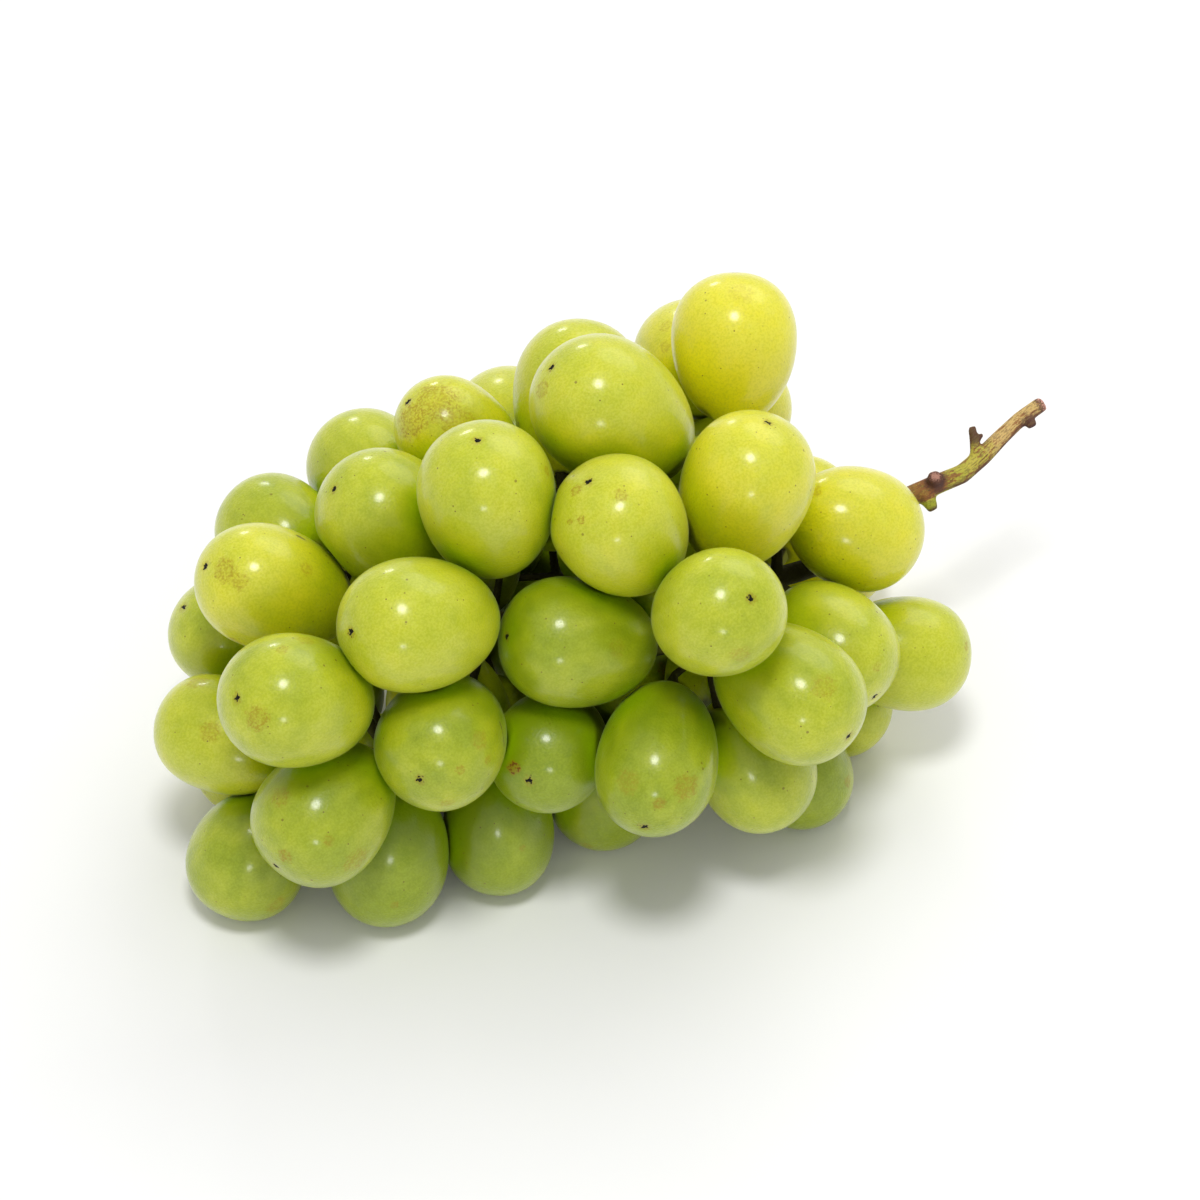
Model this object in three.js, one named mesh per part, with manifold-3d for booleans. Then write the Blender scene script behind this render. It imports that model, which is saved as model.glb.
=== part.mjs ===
// A bunch of large green table grapes, lying on a flat surface with its cut stem rising at one end.
// Millimetres, +Z up. +X runs along the bunch towards the cut stem, and the surface is z = 0.
import * as THREE from "three";
import { mergeVertices } from "three/addons/utils/BufferGeometryUtils.js";
import Module from "manifold-3d";

const wasm = await Module();
wasm.setup();

// The side that the bunch is described from: an eye in front of it and above it.
const EYE_AZIMUTH = -22;
const EYE_ELEVATION = 45;
const EYE_DISTANCE = 900;
const MIDDLE = new THREE.Vector3(0, 0, 40);

// The form of a grape: an egg with a blunt outline, fuller at its tip, with a dimple at its stem.
const EGG_BLUNTNESS = 2.12;
const EGG_FULLNESS = 0.12;
const STEM_DIMPLE = 0.9;
const GRAPE_SIDES = 12;
const GRAPE_RINGS = 8;

// How the grapes lie against each other, the surface and the stem.
const GRAPE_COUNT = 58;
const PRESSED_IN = 0.35;
const GRAPE_GAP = 0.3;
const FLAT_SPOT_DEPTH = 0.6;
const LIFTED_CLEAR = 1.2;
const SETTLE_ROUNDS = 900;
const GATHERING_PART = 0.7;
const SIGHT_HOLD = 0.35;
const DEPTH_HOLD = 0.02;
const GATHER_STEP = 0.15;
const NECK_ROOM = 2;
const STEM_ROOM = 0.7;
const NEAR_ENOUGH = 2;
const SEPARATION_ROUNDS = 6;

// The grapes that the eye doesn't see: their sizes, and the rings round the main stem that they fill.
const HIDDEN_WIDTH = 23.5;
const HIDDEN_WIDTH_SPREAD = 2.5;
const HIDDEN_LENGTH_RATIO = 1.17;
const HIDDEN_RINGS = [16, 24, 34, 44, 54];
const RING_STATIONS = 16;
const RING_TURNS = 24;
const GOLDEN_ANGLE = 2.4;
const CENTRES_APART = 19;
const LIE_LOWER_THAN = 15;
const LEAN_TO_TIP = 0.2;
const HIDDEN_PART = 0.9;
const RIM_POINTS = 12;
const SIZE_SEED = 5;

// The stem: its radii from the cut end to the last branch, and the stalk of each grape.
const CUT_END_RADIUS = 1.6;
const STEM_RADIUS = 2.1;
const LAST_STEM_RADIUS = 1.1;
const THICK_FROM_PART = 0.2;
const THINNER_FROM_PART = 0.4;
const STALK_RADIUS = 0.8;
const STALK_THICKENING = 0.3;
const COLLAR_RADIUS = 1.9;
const COLLAR_GAP = 0.5;
const STEM_GAP = 0.35;
const NECK_LENGTH = 3;

// How finely the stem is drawn: the sides of its tubes and the length of their steps.
const MAIN_STEM_SIDES = 8;
const MAIN_STEM_STEP = 6;
const STALK_SIDES = 5;
const STALK_STEP = 5;
const STUB_SIDES = 6;
const STUB_STEP = 4;
const STALK_SMOOTHINGS = 40;
const SMOOTHING_STEP = 0.5;
const STEM_SAMPLES = 80;

// The grid on which the stalks find their way: its spacing, and how much they keep to the open.
const CELL = 2;
const ROOMY = 3;
const TIGHT_COST = 3;
const LOWEST_STALK = 3;
const SHARED_WAY_COST = 0.4;
const GRID_MARGIN = 8;

// Corners of a solid that lie closer than this are one corner.
const SAME_CORNER = 1e-4;

// Each grape that the eye sees: its place across, up and toward the eye from the middle of the bunch,
// its length and width, and which way its tip points, in the same three directions.
const SEEN_GRAPES = [
  { across: 26.8, up: 50.2, toward: 6, long: 30, wide: 24.6, tip: [0, 1, 0.1] },
  { across: 18.8, up: 47.4, toward: -17, long: 28.6, wide: 23.4, tip: [-0.2, 0.4, -0.9] },
  { across: 3, up: 36.9, toward: 26, long: 35.6, wide: 27.3, tip: [-0.69, 0.49, 0.53] },
  { across: -5, up: 40, toward: 2, long: 32.4, wide: 25.2, tip: [0.15, 0.95, -0.25] },
  { across: -17.6, up: 34.2, toward: -18, long: 29, wide: 24, tip: [-0.2, 0.35, -0.9] },
  { across: 28.8, up: 21.6, toward: 24, long: 32.8, wide: 25.2, tip: [0.27, 0.8, 0.53] },
  { across: 4.4, up: 13.8, toward: 30, long: 29.4, wide: 25.4, tip: [-0.45, 0.6, 0.66] },
  { across: -28, up: 32.8, toward: 8, long: 27.6, wide: 20.8, tip: [-0.7, 0.46, 0.5] },
  { across: -22.6, up: 19.4, toward: 36, long: 33.2, wide: 26.4, tip: [-0.1, 0.69, 0.71] },
  { across: -40.6, up: 15.4, toward: 18, long: 34, wide: 26.2, tip: [-0.68, 0.38, 0.63] },
  { across: -46.2, up: 25.8, toward: -5, long: 26.4, wide: 23.6, tip: [-0.4, 0.4, -0.82] },
  { across: -64.2, up: 13.2, toward: -1, long: 26, wide: 23, tip: [-0.6, 0.3, -0.74] },
  { across: -36, up: -5, toward: 40, long: 33.4, wide: 25.4, tip: [-0.77, -0.09, 0.63] },
  { across: -64.8, up: 2, toward: 22, long: 33, wide: 24, tip: [-0.79, 0.28, 0.55] },
  { across: -59.8, up: -20.2, toward: 44, long: 32.6, wide: 25.4, tip: [-0.66, 0.05, 0.75] },
  { across: -74, up: -7.4, toward: -3, long: 24.6, wide: 22, tip: [-0.7, 0.48, 0.5] },
  { across: -75, up: -27.8, toward: 15, long: 28.6, wide: 22.6, tip: [-0.85, 0.35, -0.35] },
  { across: -70, up: -31.4, toward: -7, long: 24, wide: 22, tip: [-0.3, -0.5, -0.8], rests: true },
  { across: -70.2, up: -50.6, toward: 12, long: 26.4, wide: 23.6, tip: [-0.3, -0.75, -0.58], rests: true },
  { across: -54.6, up: -42, toward: 31, long: 30.2, wide: 25.4, tip: [-0.62, -0.69, 0.36] },
  { across: -42.2, up: -50.4, toward: 14, long: 31.4, wide: 23.6, tip: [-0.15, -0.82, -0.5], rests: true },
  { across: -31.2, up: -27.6, toward: 31, long: 30, wide: 24.6, tip: [-0.27, -0.5, 0.82] },
  { across: -20.6, up: -45, toward: 8, long: 28.6, wide: 22, tip: [0, -0.8, -0.55], rests: true },
  { across: -10.4, up: -29.4, toward: 19, long: 27.4, wide: 22.8, tip: [-0.3, -0.43, 0.85] },
  { across: -5, up: -8.2, toward: 34, long: 32.2, wide: 25, tip: [-0.86, 0.08, 0.5] },
  { across: 11.2, up: -31, toward: 31, long: 32, wide: 23.4, tip: [-0.17, -0.82, 0.55] },
  { across: 0.8, up: -37, toward: -1, long: 27, wide: 22.6, tip: [0, -0.65, -0.7], rests: true },
  { across: 23.2, up: -2.8, toward: 45, long: 29.4, wide: 24, tip: [0.42, 0.2, 0.88] },
  { across: 37.4, up: -18, toward: 32, long: 32.4, wide: 25, tip: [0.71, -0.54, 0.45] },
  { across: 46.2, up: -9, toward: 11, long: 28.4, wide: 23.8, tip: [0.6, -0.71, 0.36] },
  { across: 60, up: -10.6, toward: -7, long: 28.8, wide: 23, tip: [0.95, -0.05, -0.3] },
  { across: 50.6, up: 14.6, toward: 0, long: 28.8, wide: 24.6, tip: [0.8, -0.28, -0.5] },
  { across: 39.4, up: 16.8, toward: -21, long: 26, wide: 22.8, tip: [0.3, 0.6, -0.7] },
  { across: 26, up: 37.6, toward: -38, long: 27, wide: 23.4, tip: [0.5, 0.3, -0.8] },
  { across: 47.6, up: -20.8, toward: -22, long: 22.6, wide: 20, tip: [0.6, -0.5, -0.5], rests: true },
  { across: 39.4, up: -34, toward: -8, long: 25, wide: 21, tip: [0.35, -0.65, -0.6], rests: true },
  { across: 30.4, up: -32, toward: 12, long: 29.2, wide: 23, tip: [0.42, -0.77, -0.4] },
  { across: 6, up: -17.6, toward: -4, long: 26, wide: 22.4, tip: [0.2, -0.2, 0.9] },
  { across: 13, up: 1, toward: 8, long: 26, wide: 22.4, tip: [0.1, 0.2, 0.9] },
  { across: 46, up: 8, toward: -40, long: 24, wide: 21, tip: [0.8, 0.2, -0.5] },
  { across: -9, up: 19, toward: 3, long: 21, wide: 18.4, tip: [0.1, 0.3, 0.9] },
];

// The main stem from its cut end, in the same three directions. It is bare down to its fifth point.
const MAIN_STEM = [
  { across: 88.6, up: 39.4, toward: -22 },
  { across: 82.8, up: 35.2, toward: -21 },
  { across: 77.6, up: 29.8, toward: -19 },
  { across: 72.4, up: 25.2, toward: -17 },
  { across: 62, up: 20.8, toward: -15 },
  { across: 49, up: 9.5, toward: -13 },
  { across: 35.5, up: 4.5, toward: -8 },
  { across: 14, up: 0, toward: -8 },
  { across: -8, up: -3, toward: -6 },
  { across: -32, up: -8, toward: 0 },
  { across: -54, up: -15, toward: 8 },
];
const BARE_POINTS = 4;

// What is left of side branches on the bare stem: where each leaves it, where it ends, and its radii.
const BRANCH_STUBS = [
  {
    from: { across: 66.9, up: 22.4, toward: -16 },
    to: { across: 67.1, up: 24.7, toward: -12.6 },
    radii: [2, 1.7],
  },
  {
    from: { across: 64.8, up: 21.6, toward: -15 },
    to: { across: 66.7, up: 18, toward: -15 },
    radii: [2.4, 1],
  },
  {
    from: { across: 75.4, up: 28.6, toward: -18 },
    to: { across: 74.4, up: 34.6, toward: -18 },
    radii: [1.5, 0.75],
  },
  {
    from: { across: 74.9, up: 31, toward: -18 },
    to: { across: 76.5, up: 33.2, toward: -18 },
    radii: [0.7, 0.35],
  },
  {
    from: { across: 85.2, up: 37, toward: -21 },
    to: { across: 86.5, up: 34.8, toward: -20 },
    radii: [1.4, 1.1],
  },
];

// The colours. Grapes ripen to yellow over so many millimetres along the bunch and up it.
const YOUNG_GREEN = new THREE.Color("#9fb93c");
const RIPE_YELLOW = new THREE.Color("#cfd052");
const STEM_BROWN = new THREE.Color("#8a7040");
const RIPENESS_AT_MIDDLE = 0.3;
const RIPENS_ALONG = 200;
const RIPENS_UPWARD = 100;
const SKIN_FINISH = { roughness: 0.35, metalness: 0 };
const BARK_FINISH = { roughness: 0.85, metalness: 0 };

const toRadians = THREE.MathUtils.degToRad;
const Z_AXIS = new THREE.Vector3(0, 0, 1);
const LATHE_AXIS = new THREE.Vector3(0, 1, 0);
const EYE_TOWARD = new THREE.Vector3(0, -1, 0)
  .applyAxisAngle(new THREE.Vector3(1, 0, 0), -toRadians(EYE_ELEVATION))
  .applyAxisAngle(Z_AXIS, toRadians(EYE_AZIMUTH));
const EYE_RIGHT = new THREE.Vector3(1, 0, 0).applyAxisAngle(Z_AXIS, toRadians(EYE_AZIMUTH));
const EYE_UP = EYE_TOWARD.clone().cross(EYE_RIGHT);

// A direction given across, up and toward the eye.
function sightDirection([across, up, toward]) {
  return new THREE.Vector3()
    .addScaledVector(EYE_RIGHT, across)
    .addScaledVector(EYE_UP, up)
    .addScaledVector(EYE_TOWARD, toward);
}

// A point given across, up and toward the eye. What is nearer looks larger, so it lies less far out.
function sightPoint({ across, up, toward }) {
  const shrink = 1 - toward / EYE_DISTANCE;
  return sightDirection([across * shrink, up * shrink, toward]).add(MIDDLE);
}

// Where the eye sees a point.
function sightOf(point) {
  const fromMiddle = point.clone().sub(MIDDLE);
  const toward = fromMiddle.dot(EYE_TOWARD);
  const shrink = 1 - toward / EYE_DISTANCE;
  const across = fromMiddle.dot(EYE_RIGHT) / shrink;
  const up = fromMiddle.dot(EYE_UP) / shrink;
  return { across, up, toward };
}

function smoothCurve(points) {
  return new THREE.CatmullRomCurve3(points, false, "centripetal");
}

function nearestOf(points, point) {
  return points.reduce((a, b) => (a.distanceToSquared(point) < b.distanceToSquared(point) ? a : b));
}

// Measures between grapes, which count as true ellipsoids here.

function makeGrape({ center, tip, long, wide, rests = false, sight = null }) {
  return { center, tip: tip.normalize(), halfLong: long / 2, halfWide: wide / 2, rests, sight };
}

// How far a grape reaches from its centre in a direction.
function reach(grape, direction) {
  const along = grape.tip.dot(direction);
  const extra = grape.halfLong ** 2 - grape.halfWide ** 2;
  return Math.sqrt(grape.halfWide ** 2 + extra * along ** 2);
}

// The point of a grape, from its centre, that lies furthest in a direction.
function furthest(grape, direction) {
  const along = grape.tip.dot(direction);
  const extra = grape.halfLong ** 2 - grape.halfWide ** 2;
  const point = direction.clone().multiplyScalar(grape.halfWide ** 2);
  return point.addScaledVector(grape.tip, extra * along).divideScalar(reach(grape, direction));
}

// The direction in which two grapes are furthest apart, and the gap between their skins there.
function separation(a, b) {
  const between = b.center.clone().sub(a.center);
  const normal = between.clone().normalize();
  for (let i = 0; i < SEPARATION_ROUNDS; i++) {
    const bothReach = reach(a, normal) + reach(b, normal);
    const bothFurthest = furthest(a, normal).add(furthest(b, normal));
    normal.multiplyScalar(bothReach).add(between).sub(bothFurthest).normalize();
  }
  return { normal, gap: between.dot(normal) - reach(a, normal) - reach(b, normal) };
}

// How far a point is from the skin of a grape, less than zero inside it.
function skinDistance(grape, point) {
  const distance = grape.center.distanceTo(point);
  const along = (point.x - grape.center.x) * grape.tip.x
    + (point.y - grape.center.y) * grape.tip.y
    + (point.z - grape.center.z) * grape.tip.z;
  const across = distance ** 2 - along ** 2;
  const depth = Math.sqrt((along / grape.halfLong) ** 2 + across / grape.halfWide ** 2);
  return distance * (1 - 1 / depth);
}

function areNear(a, b) {
  return a.center.distanceTo(b.center) < a.halfLong + b.halfLong + NEAR_ENOUGH;
}

// Where the stalk of a grape ends, a gap off the bottom of its dimple.
function collarEnd(grape) {
  return grape.center.clone().addScaledVector(grape.tip, STEM_DIMPLE - COLLAR_GAP - grape.halfLong);
}

// The spot off the stem end of a grape where its stalk needs room.
function neckOf(grape) {
  return grape.center.clone().addScaledVector(grape.tip, -grape.halfLong - NECK_LENGTH);
}

// How the grapes are laid.

function pushApart(a, b) {
  const { normal, gap } = separation(a, b);
  const excess = -PRESSED_IN - gap;
  if (excess > 0) {
    a.center.addScaledVector(normal, -excess / 2);
    b.center.addScaledVector(normal, excess / 2);
  }
}

// Moves a grape away from a point that lacks room beside its skin.
function makeRoom(grape, point, room) {
  const missing = room - skinDistance(grape, point);
  if (missing > 0) {
    const away = grape.center.clone().sub(point).normalize();
    grape.center.addScaledVector(away, missing / 2);
  }
}

// Brings a grape that the eye sees back to its line of sight, and gently to how near it should be.
function holdToSight(grape) {
  const toward = THREE.MathUtils.lerp(sightOf(grape.center).toward, grape.sight.toward, DEPTH_HOLD);
  grape.center.lerp(sightPoint({ ...grape.sight, toward }), SIGHT_HOLD);
}

// Keeps a grape on the surface if it rests there, and clear of it if it doesn't.
function holdAboveSurface(grape) {
  const lowest = grape.center.z - reach(grape, Z_AXIS);
  if (grape.rests) grape.center.z -= lowest + FLAT_SPOT_DEPTH;
  else if (lowest < LIFTED_CLEAR) grape.center.z += LIFTED_CLEAR - lowest;
}

// Lets the grapes gather round the main stem, until none presses far into another.
function settle(grapes, stemPoints) {
  for (let round = 0; round < SETTLE_ROUNDS; round++) {
    const gathering = round < SETTLE_ROUNDS * GATHERING_PART;
    for (const grape of grapes) {
      const nearest = nearestOf(stemPoints, grape.center);
      const inward = nearest.clone().sub(grape.center).normalize();
      if (gathering && !grape.sight) grape.center.addScaledVector(inward, GATHER_STEP);
      makeRoom(grape, nearest, STEM_RADIUS + STEM_ROOM);
    }
    grapes.forEach((a, i) => {
      for (const b of grapes.slice(i + 1)) {
        if (!areNear(a, b)) continue;
        pushApart(a, b);
        makeRoom(b, neckOf(a), NECK_ROOM);
        makeRoom(a, neckOf(b), NECK_ROOM);
      }
    });
    for (const grape of grapes) {
      if (grape.sight) holdToSight(grape);
      holdAboveSurface(grape);
    }
  }
}

function seenGrapes() {
  return SEEN_GRAPES.map((row) =>
    makeGrape({ ...row, center: sightPoint(row), tip: sightDirection(row.tip), sight: row }),
  );
}

// Whether nearer grapes hide a round thing at this place from the eye.
function isHidden(center, radius, grapes) {
  const spot = sightOf(center);
  const nearer = grapes.map((grape) => ({ ...sightOf(grape.center), radius: grape.halfWide }));
  const rim = Array.from({ length: RIM_POINTS }, (_, i) => (i / RIM_POINTS) * 2 * Math.PI);
  return rim.every((angle) => {
    const across = spot.across + radius * Math.cos(angle);
    const up = spot.up + radius * Math.sin(angle);
    return nearer.some(
      (other) =>
        other.toward > spot.toward && Math.hypot(other.across - across, other.up - up) < other.radius,
    );
  });
}

// A grape somewhere on the rings round the main stem, a little unlike its neighbours.
function ringGrape(stem, ringRadius, angle) {
  const side = new THREE.Vector3(0, Math.cos(angle), Math.sin(angle));
  const center = stem.clone().addScaledVector(side, ringRadius);
  const wide = HIDDEN_WIDTH + HIDDEN_WIDTH_SPREAD * (THREE.MathUtils.seededRandom() - 0.5);
  const rests = center.z < LIE_LOWER_THAN;
  if (rests) center.z = wide / 2;
  const lean = new THREE.Vector3(THREE.MathUtils.seededRandom() - 0.5 - LEAN_TO_TIP, 0, 0);
  const tip = side.clone().add(lean);
  return makeGrape({ center, tip, long: wide * HIDDEN_LENGTH_RATIO, wide, rests });
}

// The grapes that the eye doesn't see, from the main stem outwards, wherever there is room.
function hiddenGrapes(seen, stemCurve) {
  const placed = [];
  THREE.MathUtils.seededRandom(SIZE_SEED);
  for (const ringRadius of HIDDEN_RINGS) {
    for (let i = 0; i < RING_STATIONS * RING_TURNS; i++) {
      const stem = stemCurve.getPointAt((i % RING_STATIONS) / (RING_STATIONS - 1));
      const grape = ringGrape(stem, ringRadius, i * GOLDEN_ANGLE);
      const others = [...seen, ...placed];
      const crowded = others.some((other) => other.center.distanceTo(grape.center) < CENTRES_APART);
      if (crowded || grape.center.z < grape.halfWide) continue;
      if (!isHidden(grape.center, grape.halfWide * HIDDEN_PART, others)) continue;
      if (others.length < GRAPE_COUNT) placed.push(grape);
    }
  }
  return placed;
}

// How the solids are made.

// A geometry with only positions, its shared points merged.
function closed(geometry) {
  geometry.deleteAttribute("normal");
  geometry.deleteAttribute("uv");
  return mergeVertices(geometry, SAME_CORNER);
}

function toSolid(geometry) {
  const merged = closed(geometry);
  const vertProperties = merged.attributes.position.array;
  const triVerts = new Uint32Array(merged.index.array);
  return new wasm.Manifold(new wasm.Mesh({ numProp: 3, vertProperties, triVerts }));
}

function toGeometry(solid) {
  const { vertProperties, triVerts } = solid.getMesh();
  const geometry = new THREE.BufferGeometry();
  geometry.setAttribute("position", new THREE.BufferAttribute(vertProperties, 3));
  geometry.setIndex(new THREE.BufferAttribute(triVerts, 1));
  return geometry;
}

// The outline of a grape from its stem end to its tip, with the centre at zero.
function grapeProfile(grape) {
  const points = [];
  for (let i = 0; i <= GRAPE_RINGS; i++) {
    const turn = (i / GRAPE_RINGS) * Math.PI;
    const along = -Math.sign(Math.cos(turn)) * Math.abs(Math.cos(turn)) ** (2 / EGG_BLUNTNESS);
    const across = Math.sin(turn) ** (2 / EGG_BLUNTNESS) * (1 + EGG_FULLNESS * along);
    points.push(new THREE.Vector2(across * grape.halfWide, along * grape.halfLong));
  }
  points[0].set(0, points[0].y + STEM_DIMPLE);
  points[GRAPE_RINGS].x = 0;
  return points;
}

// The planes that part a grape from its neighbours, each half a gap short of where they meet.
function contactPlanes(grape, grapes) {
  const neighbours = grapes.filter((other) => other !== grape && areNear(grape, other));
  return neighbours.map((other) => {
    const { normal, gap } = separation(grape, other);
    return { normal, distance: reach(grape, normal) + (gap - GRAPE_GAP) / 2 };
  });
}

// Presses the points of a grape in towards its centre, to where its neighbours let them be.
function pressIn(positions, planes) {
  const point = new THREE.Vector3();
  for (let i = 0; i < positions.count; i++) {
    point.fromBufferAttribute(positions, i);
    for (const { normal, distance } of planes) {
      const out = point.dot(normal);
      if (out > distance) point.multiplyScalar(distance / out);
    }
    positions.setXYZ(i, point.x, point.y, point.z);
  }
}

// Cuts off what a resting grape would have below the surface, which leaves its flat spot.
function cutFlat(solid, grape) {
  const width = 4 * grape.halfLong;
  const depth = grape.halfLong;
  const below = new THREE.BoxGeometry(width, width, depth);
  return solid.subtract(toSolid(below.translate(0, 0, -depth / 2 - grape.center.z)));
}

// A grape with its centre at the origin, turned as it lies in the bunch.
function grapeGeometry(grape, grapes) {
  const geometry = closed(new THREE.LatheGeometry(grapeProfile(grape), GRAPE_SIDES));
  geometry.applyQuaternion(new THREE.Quaternion().setFromUnitVectors(LATHE_AXIS, grape.tip));
  pressIn(geometry.attributes.position, contactPlanes(grape, grapes));
  const solid = toSolid(geometry);
  return toGeometry(grape.rests ? cutFlat(solid, grape) : solid);
}

// A closed tube along a curve, with its radius given from its start (0) to its end (1).
function tubeSolid(curve, radiusAt, sides, stepLength) {
  const steps = Math.max(2, Math.ceil(curve.getLength() / stepLength));
  const frames = curve.computeFrenetFrames(steps, false);
  const geometry = new THREE.CylinderGeometry(1, 1, 1, sides, steps);
  const positions = geometry.attributes.position;
  for (let i = 0; i < positions.count; i++) {
    const ring = Math.round((positions.getY(i) + 0.5) * steps);
    const radius = radiusAt(ring / steps);
    const point = curve
      .getPointAt(ring / steps)
      .addScaledVector(frames.binormals[ring], positions.getX(i) * radius)
      .addScaledVector(frames.normals[ring], positions.getZ(i) * radius);
    positions.setXYZ(i, point.x, point.y, point.z);
  }
  return toSolid(geometry);
}

// How the stalks grow.

// Every step from a cell of a grid to one of the 26 round it.
function cellSteps() {
  const steps = [];
  for (let i = 0; i < 27; i++) {
    const shift = new THREE.Vector3((i % 3) - 1, (Math.floor(i / 3) % 3) - 1, Math.floor(i / 9) - 1);
    if (shift.length() > 0) steps.push({ shift, length: shift.length() * CELL });
  }
  return steps;
}

// The way through the gaps: for each cell of a grid, the next one on the shortest way to the main stem.
class GapGrid {
  constructor(grapes, stemPoints) {
    this.box = new THREE.Box3().setFromPoints(grapes.map((grape) => grape.center));
    this.box.expandByScalar(GRID_MARGIN);
    this.counts = this.box.getSize(new THREE.Vector3()).divideScalar(CELL).ceil();
    const cells = this.counts.x * this.counts.y * this.counts.z;
    this.distances = new Float32Array(cells).fill(Infinity);
    this.parents = new Int32Array(cells).fill(-1);
    this.costs = Float32Array.from({ length: cells }, (_, cell) => this.costAt(cell, grapes));
    this.steps = cellSteps().map(({ shift, length }) => ({ cells: this.indexOf(shift), length }));
    const sources = stemPoints.map((point) => this.cellAt(point));
    for (const cell of sources) this.distances[cell] = 0;
    this.spread(sources);
  }

  indexOf({ x, y, z }) {
    return x + this.counts.x * (y + this.counts.y * z);
  }

  cellAt(point) {
    return this.indexOf(point.clone().sub(this.box.min).divideScalar(CELL).floor());
  }

  pointOf(cell) {
    const x = cell % this.counts.x;
    const y = Math.floor(cell / this.counts.x) % this.counts.y;
    const z = Math.floor(cell / (this.counts.x * this.counts.y));
    return new THREE.Vector3(x + 0.5, y + 0.5, z + 0.5).multiplyScalar(CELL).add(this.box.min);
  }

  // How dear it is to pass a cell: more close beside a grape, and endless inside one.
  costAt(cell, grapes) {
    const point = this.pointOf(cell);
    let room = Infinity;
    for (const grape of grapes) room = Math.min(room, skinDistance(grape, point));
    if (room < STALK_RADIUS || point.z < LOWEST_STALK) return Infinity;
    return 1 + TIGHT_COST * Math.max(0, 1 - room / ROOMY);
  }

  // Spreads out from some cells in order of distance. Each bucket holds one cell's width of it.
  spread(sources) {
    const buckets = [];
    const put = (cell) => (buckets[Math.floor(this.distances[cell] / CELL)] ??= []).push(cell);
    sources.forEach(put);
    for (let i = 0; i < buckets.length; i++) {
      for (const cell of buckets[i] ?? []) {
        for (const { cells, length } of this.steps) {
          const next = cell + cells;
          const distance = this.distances[cell] + length * this.costs[next];
          if (!(distance < this.distances[next])) continue;
          this.distances[next] = distance;
          this.parents[next] = cell;
          put(next);
        }
      }
    }
  }

  // Makes a way that one stalk takes cheap for those that come after it, so that they join it.
  share(way) {
    for (const cell of way) this.distances[cell] *= SHARED_WAY_COST;
    this.spread(way);
  }

  // The cell at or beside a point from which the way is shortest.
  entryNear(point) {
    const cell = this.cellAt(point);
    const cells = [cell, ...this.steps.map((step) => cell + step.cells)];
    return cells.reduce((a, b) => (this.distances[a] <= this.distances[b] ? a : b));
  }
}

// A knot of the tree of stalks. One that is free can still move to draw its stalk straight.
function addKnot(knots, point, parent, free = false) {
  const knot = { point, parent, free, load: 0, children: [] };
  knots.push(knot);
  parent?.children.push(knot);
  return knot;
}

// The stalks as a tree of knots. Where the ways of two grapes to the main stem meet, they go on as one.
function growStalks(grapes, stemPoints) {
  const grid = new GapGrid(grapes, stemPoints);
  const knots = [];
  const byCell = new Map();
  const knotAt = (cell, newCells) => {
    if (byCell.has(cell)) return byCell.get(cell);
    newCells.push(cell);
    const onward = grid.parents[cell];
    const parent = onward < 0 ? null : knotAt(onward, newCells);
    const point = parent ? grid.pointOf(cell) : nearestOf(stemPoints, grid.pointOf(cell)).clone();
    const knot = addKnot(knots, point, parent, parent !== null);
    byCell.set(cell, knot);
    return knot;
  };
  const fromStem = (grape) => nearestOf(stemPoints, grape.center).distanceTo(grape.center);
  for (const grape of grapes.toSorted((a, b) => fromStem(a) - fromStem(b))) {
    const newCells = [];
    const parent = knotAt(grid.entryNear(neckOf(grape)), newCells);
    grid.share(newCells);
    const neck = addKnot(knots, neckOf(grape), parent);
    const tip = addKnot(knots, collarEnd(grape), neck);
    for (let knot = tip; knot; knot = knot.parent) knot.load += 1;
  }
  return knots;
}

function stalkRadius(load) {
  return STALK_RADIUS * load ** STALK_THICKENING;
}

// Draws the stalks straight where the grapes let them, and bends them clear where they don't.
function smoothStalks(knots, grapes) {
  const ends = new THREE.Vector3();
  for (let round = 0; round < STALK_SMOOTHINGS; round++) {
    for (const knot of knots.filter((each) => each.free)) {
      ends.set(0, 0, 0);
      for (const child of knot.children) ends.addScaledVector(child.point, 1 / knot.children.length);
      knot.point.lerp(ends.add(knot.parent.point).divideScalar(2), SMOOTHING_STEP);
      const room = stalkRadius(knot.load) + STEM_GAP;
      for (const grape of grapes) {
        const missing = room - skinDistance(grape, knot.point);
        if (missing <= 0) continue;
        const away = knot.point.clone().sub(grape.center).normalize();
        knot.point.addScaledVector(away, missing);
      }
    }
  }
}

// Each stalk runs from a grape down to the first knot that another stalk has taken. It flares to a
// collar at the grape.
function stalkSolids(knots) {
  const taken = new Set();
  return knots.filter((knot) => knot.children.length === 0).map((tip) => {
    const way = [tip];
    while (way.at(-1).parent && !taken.has(way.at(-1))) {
      taken.add(way.at(-1));
      way.push(way.at(-1).parent);
    }
    const radiusAt = (part) => {
      const { load } = way[Math.round(part * (way.length - 1))];
      return part === 0 ? COLLAR_RADIUS : stalkRadius(load);
    };
    return tubeSolid(smoothCurve(way.map((knot) => knot.point)), radiusAt, STALK_SIDES, STALK_STEP);
  });
}

// The main stem, thickest where it enters the bunch and thinner towards both its ends.
function mainStemSolid(stemCurve) {
  const { lerp, smoothstep } = THREE.MathUtils;
  const radiusAt = (part) => {
    const bare = lerp(CUT_END_RADIUS, STEM_RADIUS, smoothstep(part, 0, THICK_FROM_PART));
    return lerp(bare, LAST_STEM_RADIUS, smoothstep(part, THINNER_FROM_PART, 1));
  };
  return tubeSolid(stemCurve, radiusAt, MAIN_STEM_SIDES, MAIN_STEM_STEP);
}

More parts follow.
